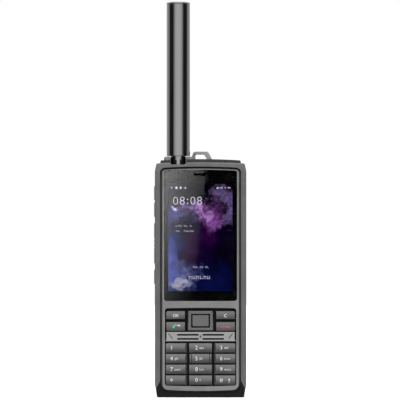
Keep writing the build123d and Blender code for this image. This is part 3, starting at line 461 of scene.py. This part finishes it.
def make_world():
    """White studio: a broad light in front, darker flags at both sides, and a canopy of light above."""
    world = bpy.data.worlds.new("studio")
    bpy.context.scene.world = world
    world.use_nodes = True
    nodes, links = world.node_tree.nodes, world.node_tree.links
    nodes.clear()
    output = nodes.new("ShaderNodeOutputWorld")
    direction = nodes.new("ShaderNodeTexCoord").outputs["Generated"]
    axes = nodes.new("ShaderNodeSeparateXYZ")
    links.new(direction, axes.inputs[0])

    def math_node(operation, first, second):
        node = nodes.new("ShaderNodeMath")
        node.operation = operation
        for socket, value in zip(node.inputs, (first, second)):
            if isinstance(value, bpy.types.NodeSocket):
                links.new(value, socket)
            else:
                socket.default_value = value
        return node.outputs[0]

    def ramp(factor, stops):
        node = nodes.new("ShaderNodeValToRGB")
        links.new(factor, node.inputs["Fac"])
        elements = node.color_ramp.elements
        while len(elements) < len(stops):
            elements.new(0.5)
        for element, (position, value) in zip(elements, stops):
            element.position = position
            element.color = (value, value, value, 1)
        return node.outputs["Color"]

    turn = math_node("ARCTAN2", axes.outputs["X"], math_node("MULTIPLY", axes.outputs["Y"], -1.0))
    turn = math_node("DIVIDE", math_node("ABSOLUTE", turn, 0.0), math.pi)
    height = math_node("MULTIPLY_ADD", axes.outputs["Z"], 0.5)
    height.node.inputs[2].default_value = 0.5

    def blend(kind, first, second):
        node = nodes.new("ShaderNodeMix")
        node.data_type = "RGBA"
        node.blend_type = kind
        node.inputs[0].default_value = 1.0
        links.new(first, node.inputs[6])
        links.new(second, node.inputs[7])
        return node.outputs[2]

    band = blend("MULTIPLY", ramp(turn, BAND_TURN), ramp(height, BAND_HEIGHT))
    canopy = blend("MULTIPLY", ramp(turn, CANOPY_TURN), ramp(height, CANOPY_HEIGHT))
    total = blend("ADD", band, canopy)
    studio = nodes.new("ShaderNodeBackground")
    studio.inputs["Strength"].default_value = STUDIO_STRENGTH
    links.new(total, studio.inputs["Color"])
    seen = nodes.new("ShaderNodeBackground")
    seen.inputs["Color"].default_value = (1, 1, 1, 1)
    seen.inputs["Strength"].default_value = 1.0
    choose = nodes.new("ShaderNodeMixShader")
    links.new(nodes.new("ShaderNodeLightPath").outputs["Is Camera Ray"], choose.inputs[0])
    links.new(studio.outputs[0], choose.inputs[1])
    links.new(seen.outputs[0], choose.inputs[2])
    links.new(choose.outputs[0], output.inputs[0])


def make_floor():
    """Pale round floor."""
    bm = bmesh.new()
    bmesh.ops.create_circle(bm, cap_ends=True, segments=96, radius=FLOOR_RADIUS)
    floor = mesh_from_bmesh(bm, "floor")
    s = Shader("floor_paint")
    s.wire(s.ramp(s.noise(14.0), (0.3, shade(0.86)), (0.7, shade(0.9))), "Base Color")
    s.wire(s.spread(s.noise(60.0), 0.75, 0.9), "Roughness")
    s.set(Specular_IOR_Level=0.1)
    floor.data.materials.append(s.material)
    floor.visible_diffuse = False
    floor.visible_glossy = False


# Sheen on the glass: its strength, its fall-off, and the slanted edge that it ends at
SHEEN = 4.3
SHEEN_LEVEL = 1.13
SHEEN_LOSS_DOWN = 0.64
SHEEN_CURVE = 2.2
SHEEN_REACH_X = 26.5 * MM
SHEEN_HEAD_X = 4.3 * MM
SHEEN_FOOT_X = -6.2 * MM
CARD_GAP = 0.15
CARD_MARGIN = 3 * MM


def make_reflection_card():
    """Card behind the camera: black, with a grey slope on the left that the glass mirrors as a sheen."""
    back = FRONT_Y - CAMERA_DISTANCE - CARD_GAP
    reach = 1.0 + (CAMERA_DISTANCE + CARD_GAP) / CAMERA_DISTANCE

    def mirrored(x, z):
        """Place on the card that the glass shows at x, z."""
        return CAMERA_X + (x - CAMERA_X) * reach, CAMERA_Z + (z - CAMERA_Z) * reach

    left, low = mirrored(GLASS_LOW.x - CARD_MARGIN, GLASS_LOW.z - CARD_MARGIN)
    right, high = mirrored(GLASS_HIGH.x + CARD_MARGIN, GLASS_HIGH.z + CARD_MARGIN)
    edge_low = mirrored(SHEEN_FOOT_X, 0)[0]
    edge_high = mirrored(SHEEN_HEAD_X, 0)[0]
    s = Shader("sheen_glow")
    parts = s.add("ShaderNodeSeparateXYZ", {"Vector": s.place}).outputs
    loss_x = s.spread(parts["X"], 0.0, 1.0, left, mirrored(SHEEN_REACH_X, 0)[0])
    loss_z = s.spread(parts["Z"], SHEEN_LOSS_DOWN, 0.0, low, high)
    level = s.math("SUBTRACT", s.math("SUBTRACT", SHEEN_LEVEL, loss_x), loss_z, clamp=True)
    glow = s.math("MULTIPLY", s.math("POWER", level, SHEEN_CURVE), SHEEN)
    felt = Shader("dark_felt")
    for name, shader, strength, corners in (
        ("sheen_card", s, glow, [(left, low), (edge_low, low), (edge_high, high), (left, high)]),
        ("dark_card", felt, 0.0, [(edge_low, low), (right, low), (right, high), (edge_high, high)]),
    ):
        lamp = shader.add("ShaderNodeEmission", {"Color": (1, 1, 1, 1), "Strength": strength})
        shader.links.new(lamp.outputs[0], shader.nodes["Material Output"].inputs["Surface"])
        bm = bmesh.new()
        polygon_xz(bm, corners, back)
        card = mesh_from_bmesh(bm, name)
        card.data.materials.append(shader.material)
        card.visible_camera = False
        card.visible_diffuse = False
        card.visible_shadow = False


# ---- CAD nodes: materials ------------------------------------------------------------------
SHARP_NODES = {"cover_glass", "antenna_helix", "display_panel", "earpiece_mesh", "metal_strip"}
WELD_REACH = 0.001 * MM
EDGE_ROUND = 0.09 * MM
EDGE_ANGLE = math.radians(38)
FACE_WEIGHT = 80


def finish_cad_nodes():
    """Give every carried-over CAD node its material, and soften its edges."""
    frame_paint = satin_paint("frame_paint", 0.095, 0.42, metallic=0.35)
    bezel_paint = satin_paint("bezel_paint", 0.155, 0.38, metallic=0.35)
    key_paint = satin_paint("key_paint", 0.085, 0.36, metallic=0.2, grain=7000.0, wear=0.3)
    housing = moulded_plastic("housing_plastic", 0.03, 0.55)
    cap = moulded_plastic("cap_plastic", 0.004, 0.42, texture=3600.0, depth=0.03, shine=0.12)
    top_dark = moulded_plastic("top_cap_plastic", 0.014, 0.45, texture=3600.0, depth=0.03, shine=0.35)
    dark_mesh = moulded_plastic("dark_mesh", 0.001, 0.7, texture=4200.0, depth=0.02, shine=0.0)
    black = rubber("black_rubber", 0.003, 0.15)
    seal_low, seal_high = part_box("bezel_gasket")
    gasket = groove_seal(seal_low.z, seal_high.z)
    steel = brushed("steel", 0.5, 0.32, along=(1, 1, 0.3))
    strip = brushed("strip_metal", 0.26, 0.36)
    loop = satin_paint("loop_paint", 0.2, 0.4, metallic=0.3)
    shield = brushed("shield_metal", 0.6, 0.4, along=(1, 1, 0.05))
    copper = brushed("copper", 0.7, 0.35, along=(1, 1, 0.2), tint=(1, 0.55, 0.35))
    board = circuit_board()
    wrap = moulded_plastic("battery_wrap", 0.05, 0.35, texture=900.0, depth=0.01, tint=(0.8, 0.9, 1.3))
    chosen = {
        "frame_metal": frame_paint, "bezel_metal": bezel_paint, "key_plastic": key_paint,
        "housing_plastic": housing, "cap_plastic": cap, "black_rubber": black, "steel": steel,
        "strip_metal": strip, "loop_metal": loop, "shield_metal": shield, "copper": copper, "board": board,
        "battery_wrap": wrap, "antenna_gloss": gloss_black(), "glass": clear_glass(), "screen": ink_black(),
    }
    special = {"earpiece_mesh": dark_mesh, "bezel_gasket": gasket,
               "top_cap": top_dark, "top_cap_end": top_dark}
    for part in frame["record"]["subparts"]:
        node = part["node"]
        obj = NODES[node]
        obj.data.materials.clear()
        obj.data.materials.append(special.get(node, chosen[part["material_slot"]]))
        soften(obj, node)


def soften(obj, node):
    """Weld the tessellation and round its sharp edges a little."""
    if node in SHARP_NODES:
        return
    weld = obj.modifiers.new("weld", "WELD")
    weld.merge_threshold = WELD_REACH
    bevel = obj.modifiers.new("soft_edges", "BEVEL")
    bevel.width = EDGE_ROUND
    bevel.segments = 2
    bevel.limit_method = "ANGLE"
    bevel.angle_limit = EDGE_ANGLE
    shading = obj.modifiers.new("even_shading", "WEIGHTED_NORMAL")
    shading.weight = FACE_WEIGHT


# ---- display -------------------------------------------------------------------------------
# Gap in the ink for the earpiece slot, which is taller at its two ends
SLOT_LOW = 157.5 * MM
SLOT_TOP = 159.2 * MM
SLOT_ENDS_TOP = 159.7 * MM
SLOT_HALF = 4.75 * MM
SLOT_ENDS_FROM = 3.1 * MM

# Ink's outline: its gap to the glass's edge, and its arched head, which is cut in at the corners
INK_EDGE = 0.02 * MM
HEAD_GAP = 0.15 * MM
HEAD_FALL = 0.7 * MM
HEAD_CORNER = 0.5 * MM
HEAD_STEPS = 16

PICTURE_COLUMNS = 12
PICTURE_ROWS = 20

CLOCK_Z = 139.45 * MM
CLOCK_SIZE = 8.6 * MM
CLOCK_THINNING = -0.19 * MM
CLOCK_SPACING = 1.10
HOURS_X = -15.4 * MM
MINUTES_X = -3.1 * MM
DOTS_X = -9.25 * MM
DOT_RISES = (-1.5 * MM, 1.3 * MM)
DOT_RADIUS = 0.45 * MM
DOT_STEPS = 12

# Status marks in millimetres from STATUS_Z: bars by place, width and height, and triangles by corners
STATUS_Z = SCREEN_HIGH.z - 2.7 * MM
STATUS_BARS = (
    (-20.6, 1.3, 0.45), (-17.2, 1.5, 1.2), (-17.2, 0.825, 1.875), (-14.1, 1.3, 1.04), (-14.1, 0.715, 1.625),
    (13.8, 0.3, 0.9), (14.6, 0.3, 1.1), (15.4, 0.3, 1.3), (17.6, 0.7, 0.6), (20.3, 1.8, 0.5),
)
STATUS_TRIANGLES = (
    ((-11.5, -0.5), (-10.2, -0.5), (-10.8, 0.6)),
    ((11.0, -0.7), (12.6, -0.7), (12.6, 0.8)),
)

# Height, start, stroke pattern, glyph width and glyph height of each line of strokes, in millimetres
TEXT_ROWS = (
    (121.9, -17.6, "cab ac b", 1.15, 1.2),
    (118.2, -17.6, "ab  abcab", 1.15, 1.2),
    (92.6, -5.4, "abc ab ac", 1.0, 1.35),
    (85.2, -8.4, "abacab", 2.1, 2.4),
)


def make_display():
    """Ink border, lit picture and its lettering, just inside the glass."""
    dress(make_glass_ink(), ink_black(), "handset")
    dress(make_picture(), wallpaper(), "handset")
    top_y = SCREEN_Y - INK_LIFT
    white = light_ink("clock_light", (0.80, 0.76, 0.92))
    dim = light_ink("small_light", (0.40, 0.38, 0.52))
    dress(make_clock(top_y), white, "handset")
    dress(make_status_bar(top_y), white, "handset")
    dress(make_text_bars(top_y), dim, "handset")


def make_glass_ink():
    """Ink round the picture, out to the glass's edge."""
    left, right = GLASS_LOW.x + INK_EDGE, GLASS_HIGH.x - INK_EDGE
    foot = GLASS_LOW.z + INK_EDGE
    x0, x1, z0, z1 = SCREEN_LOW.x, SCREEN_HIGH.x, SCREEN_LOW.z, SCREEN_HIGH.z
    bm = bmesh.new()
    for sides in (
        (left, right, foot, z0), (left, x0, z0, z1), (x1, right, z0, z1), (left, right, z1, SLOT_LOW),
        (left, -SLOT_HALF, SLOT_LOW, SLOT_ENDS_TOP), (SLOT_HALF, right, SLOT_LOW, SLOT_ENDS_TOP),
        (-SLOT_ENDS_FROM, SLOT_ENDS_FROM, SLOT_TOP, SLOT_ENDS_TOP),
    ):
        rectangle_xz(bm, *sides, SCREEN_Y)
    head = [(right, SLOT_ENDS_TOP)]
    for step in range(HEAD_STEPS + 1):
        x = (right - HEAD_CORNER) * (1 - 2 * step / HEAD_STEPS)
        head.append((x, GLASS_HIGH.z - HEAD_GAP - HEAD_FALL * (x / right) ** 2))
    face = polygon_xz(bm, head + [(left, SLOT_ENDS_TOP)], SCREEN_Y)
    bmesh.ops.triangulate(bm, faces=[face])
    return mesh_from_bmesh(bm, "glass_ink")


def make_picture():
    """Lit area of the display, as a grid."""
    wide = (SCREEN_HIGH.x - SCREEN_LOW.x) / PICTURE_COLUMNS
    tall = (SCREEN_HIGH.z - SCREEN_LOW.z) / PICTURE_ROWS
    bm = bmesh.new()
    for row in range(PICTURE_ROWS):
        for column in range(PICTURE_COLUMNS):
            x, z = SCREEN_LOW.x + wide * column, SCREEN_LOW.z + tall * row
            rectangle_xz(bm, x, x + wide, z, z + tall, SCREEN_Y)
    bmesh.ops.remove_doubles(bm, verts=bm.verts[:], dist=0.001 * MM)
    return mesh_from_bmesh(bm, "lock_screen")


def make_clock(y):
    """Hours and minutes in thin digits, with two round dots between them."""
    hours, minutes = (
        text_mesh(name, "08", CLOCK_SIZE, x, CLOCK_Z, y, CLOCK_SPACING, CLOCK_THINNING)
        for name, x in (("clock_digits", HOURS_X), ("minutes", MINUTES_X))
    )
    turns = [2 * math.pi * step / DOT_STEPS for step in range(DOT_STEPS)]
    bm = bmesh.new()
    for rise in DOT_RISES:
        points = [(DOTS_X + DOT_RADIUS * math.cos(turn), CLOCK_Z + rise + DOT_RADIUS * math.sin(turn))
                  for turn in turns]
        polygon_xz(bm, points, y)
    return join_into(hours, minutes, mesh_from_bmesh(bm, "dots"))


def make_status_bar(y):
    """Generic status marks along the top of the picture."""
    bm = bmesh.new()
    for x, wide, tall in STATUS_BARS:
        bar(bm, x * MM, STATUS_Z, wide * MM, tall * MM, y)
    for corners in STATUS_TRIANGLES:
        polygon_xz(bm, [(x, STATUS_Z + rise) for x, rise in in_mm(corners)], y)
    return mesh_from_bmesh(bm, "status_marks")


def make_text_bars(y):
    """Rows of short strokes where the picture has its small lines of text, in shares of a glyph's size."""
    bm = bmesh.new()
    for z, start, glyphs, wide, tall in TEXT_ROWS:
        for index, glyph in enumerate(glyphs):
            if glyph == " ":
                continue
            x = start + index * wide * 1.25
            rise = 0.3 * tall * (1 if glyph == "a" else -1)
            bar(bm, (x + wide * 0.16) * MM, z * MM, wide * 0.22 * MM, tall * MM, y)
            bar(bm, (x + wide * 0.5) * MM, (z + rise) * MM, wide * MM, tall * 0.2 * MM, y)
            if glyph != "c":
                bar(bm, (x + wide * 0.8) * MM, (z - rise * 0.4) * MM, wide * 0.2 * MM, tall * 0.7 * MM, y)
    return mesh_from_bmesh(bm, "text_dashes")


# ---- strip ---------------------------------------------------------------------------------
STRIP_ENGRAVING = 0.3 * MM
BAR_CORNERS_X = (19.45 * MM, 20.25 * MM, 23.15 * MM, 22.35 * MM)
BAR_FOOT = 1.65 * MM
BAR_HEAD = 1.05 * MM
DIAMOND_HALF_WIDTH = 0.75 * MM
DIAMOND_HALF_HEIGHT = 1.05 * MM


def make_strip_ink():
    """Dark paint in the strip's engraved bars and diamond."""
    low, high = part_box("metal_strip")
    floor = low.y + STRIP_ENGRAVING - INK_LIFT
    foot, head, middle = low.z + BAR_FOOT, high.z - BAR_HEAD, (low.z + high.z) / 2
    slant = list(zip(BAR_CORNERS_X, (foot, foot, head, head)))
    bm = bmesh.new()
    for side in (1, -1):
        polygon_xz(bm, [(side * x, z) for x, z in slant[::side]], floor)
    polygon_xz(bm, [(-DIAMOND_HALF_WIDTH, middle), (0, middle - DIAMOND_HALF_HEIGHT),
                    (DIAMOND_HALF_WIDTH, middle), (0, middle + DIAMOND_HALF_HEIGHT)], floor)
    dress(mesh_from_bmesh(bm, "strip_ink"), paint("strip_ink", shade(0.03)), "handset")


# ---- key legends ---------------------------------------------------------------------------
NUMBER_LEGENDS = {
    "key_1": ("1", ""), "key_2": ("2", "abc"), "key_3": ("3", "def"), "key_4": ("4", "ghi"),
    "key_5": ("5", "jkl"), "key_6": ("6", "mno"), "key_7": ("7", "pqrs"), "key_8": ("8", "tuv"),
    "key_9": ("9", "wxyz"), "key_star": ("*", ""), "key_0": ("0", "+"), "key_hash": ("#", ""),
}
DIGIT_SIZE = 4.0 * MM
STAR_SCALE = 1.25
STAR_DROP = 0.9 * MM
MIDDLE_DIGIT_X = -2.9 * MM
LEFT_DIGIT_INSET = 4.1 * MM
RIGHT_DIGIT_INSET = 5.2 * MM
LETTER_SIZE = 2.35 * MM
LETTER_SPACING = 1.05
LETTERS_AFTER = 2.0 * MM
HASH_MARK_AFTER = 5.6 * MM

# Rise of the keys' arched fronts, and the cuts that let a legend follow them
NUMBER_BOW = 0.70 * MM
FUNCTION_BOW = 0.30 * MM
LEGEND_CUTS = 8

# Painted shade in the middle key's two upright grooves: place across, floor depth, and width of the dark strip
GROOVE_X = 6.4 * MM
GROOVE_DEPTH = 1.4 * MM
GROOVE_SHADE_WIDTH = 0.5 * MM

# Words on the soft keys: piece, key, words, size and place across
SOFT_LEGENDS = (
    ("legend_soft_left", "soft_key_left", "OK", 3.0 * MM, -17.6 * MM),
    ("legend_soft_right", "soft_key_right", "C", 3.3 * MM, 17.7 * MM),
)
SOFT_LEGEND_Z = 58.0 * MM
SOFT_LEGEND_BOLD = 0.02 * MM

# Marks on the call and end keys, in millimetres
CALL_MARK = ((-20.1, 49.7), (-19.2, 49.0), (-18.6, 49.6), (-18.9, 50.2), (-18.0, 51.0), (-17.4, 50.7),
             (-16.9, 51.3), (-17.7, 52.0), (-18.6, 51.7), (-19.6, 50.8))
CALL_TICK = ((-17.0, 51.2), (-16.3, 51.6), (-14.3, 51.5), (-15.0, 50.5), (-15.8, 51.0))
END_TAIL = ((17.6, 50.9), (21.2, 49.9), (21.0, 49.3), (17.5, 50.2))
END_MARK_X, END_MARK_Z = 15.6, 50.4
END_MARK_SCALE = 0.72
END_MARK_STEPS = 10


def wrap_on_key(obj, node, bow, crown):
    """Bend flat lettering onto a key whose front is an arc from its foot to its head."""
    low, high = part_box(node)
    middle, half = (low.z + high.z) / 2, (high.z - low.z) / 2
    radius = (half * half + bow * bow) / (2 * bow)
    bm = bmesh.new()
    bm.from_mesh(obj.data)
    for index in range(1, LEGEND_CUTS):
        z = low.z + (high.z - low.z) * index / LEGEND_CUTS
        geometry = bm.verts[:] + bm.edges[:] + bm.faces[:]
        bmesh.ops.bisect_plane(bm, geom=geometry, plane_co=(0, 0, z), plane_no=(0, 0, 1), dist=1e-7)
    for vertex in bm.verts:
        rise = vertex.co.z - middle
        vertex.co.y = crown - INK_LIFT + radius - math.sqrt(max(radius * radius - rise * rise, 0.0))
    bm.to_mesh(obj.data)
    bm.free()


def make_number_legends(ink):
    """Digits and small letters on the twelve number keys."""
    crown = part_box("key_2")[0].y
    for node, (digit, letters) in NUMBER_LEGENDS.items():
        low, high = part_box(node)
        middle_x, middle_z = (low.x + high.x) / 2, (low.z + high.z) / 2
        if low.x < 0 < high.x:
            digit_x = MIDDLE_DIGIT_X
        else:
            digit_x = low.x + (LEFT_DIGIT_INSET if middle_x < 0 else RIGHT_DIGIT_INSET)
        size, drop = (DIGIT_SIZE * STAR_SCALE, STAR_DROP) if digit == "*" else (DIGIT_SIZE, 0.0)
        legend = text_mesh("legend_" + node, digit, size, digit_x, middle_z - drop, low.y)
        if letters:
            spot = digit_x + LETTERS_AFTER
            extra = text_mesh("small", letters, LETTER_SIZE, spot, middle_z, low.y, LETTER_SPACING,
                              align="LEFT")
            legend = join_into(legend, extra)
        if node == "key_hash":
            legend = join_into(legend, microphone_mark(digit_x + HASH_MARK_AFTER, middle_z, low.y))
        wrap_on_key(legend, node, NUMBER_BOW, crown)
        dress(legend, ink, node)


def microphone_mark(x, z, y):
    """Small upright mark beside the hash sign."""
    bm = bmesh.new()
    bar(bm, x, z + 0.4 * MM, 0.8 * MM, 1.3 * MM, y)
    bar(bm, x, z - 0.95 * MM, 0.25 * MM, 0.8 * MM, y)
    bar(bm, x, z - 1.35 * MM, 1.1 * MM, 0.25 * MM, y)
    return mesh_from_bmesh(bm, "small_mark")


def make_groove_shade():
    """Painted shade: dark strips on the floors of the two upright grooves in the middle key, where the grooves
    lie in shade.
    """
    low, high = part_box("key_5")
    floor = low.y + GROOVE_DEPTH - INK_LIFT
    bm = bmesh.new()
    for x in (-GROOVE_X, GROOVE_X):
        bar(bm, x, (low.z + high.z) / 2, GROOVE_SHADE_WIDTH, high.z - low.z - 0.1 * MM, floor)
    dress(mesh_from_bmesh(bm, "groove_painted_shade"), paint("groove_painted_shade", shade(0.004)), "key_5")


def receiver_outline():
    """Telephone receiver face down, in millimetres: a bowed grip with two ear pieces."""
    outer = []
    for index in range(END_MARK_STEPS + 1):
        angle = math.radians(200 + 140 * index / END_MARK_STEPS)
        outer.append((2.0 * math.cos(angle), 1.5 * math.sin(angle) + 1.0))
    inner = [(x * 0.62, z * 0.45 + 0.12) for x, z in reversed(outer)]
    outline = outer + [(2.25, 0.9), (1.25, 1.0)] + inner + [(-1.25, 1.0), (-2.25, 0.9)]
    return [(END_MARK_X - x * END_MARK_SCALE, END_MARK_Z - z * END_MARK_SCALE) for x, z in outline]


def make_function_legends(ink):
    """Legends of the soft, call and end keys."""
    green = paint("legend_green", (0.02, 0.48, 0.20), 0.22)
    red = paint("legend_red", (0.60, 0.03, 0.12), 0.22)
    legends = []
    for name, node, words, size, x in SOFT_LEGENDS:
        legend = text_mesh(name, words, size, x, SOFT_LEGEND_Z, 0, bold=SOFT_LEGEND_BOLD)
        legends.append((legend, node, ink))
    for name, node, points, material in (
        ("legend_call", "call_key", CALL_MARK, green), ("legend_end", "end_key", receiver_outline(), red),
        ("legend_call_tick", "call_key", CALL_TICK, ink), ("legend_end_tail", "end_key", END_TAIL, red),
    ):
        legends.append((flat_mark(name, points), node, material))
    for legend, node, material in legends:
        wrap_on_key(legend, node, FUNCTION_BOW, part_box(node)[0].y)
        dress(legend, material, node)


# ---- the scene -----------------------------------------------------------------------------
scene = bpy.context.scene
scene.view_settings.view_transform = "Standard"
scene.view_settings.look = "None"

make_camera()
make_world()
make_floor()
make_reflection_card()
finish_cad_nodes()
make_display()
make_strip_ink()
# Painted shade in the middle key's grooves
make_groove_shade()
legend_white = paint("legend_white", shade(0.68), 0.12)
make_number_legends(legend_white)
make_function_legends(legend_white)
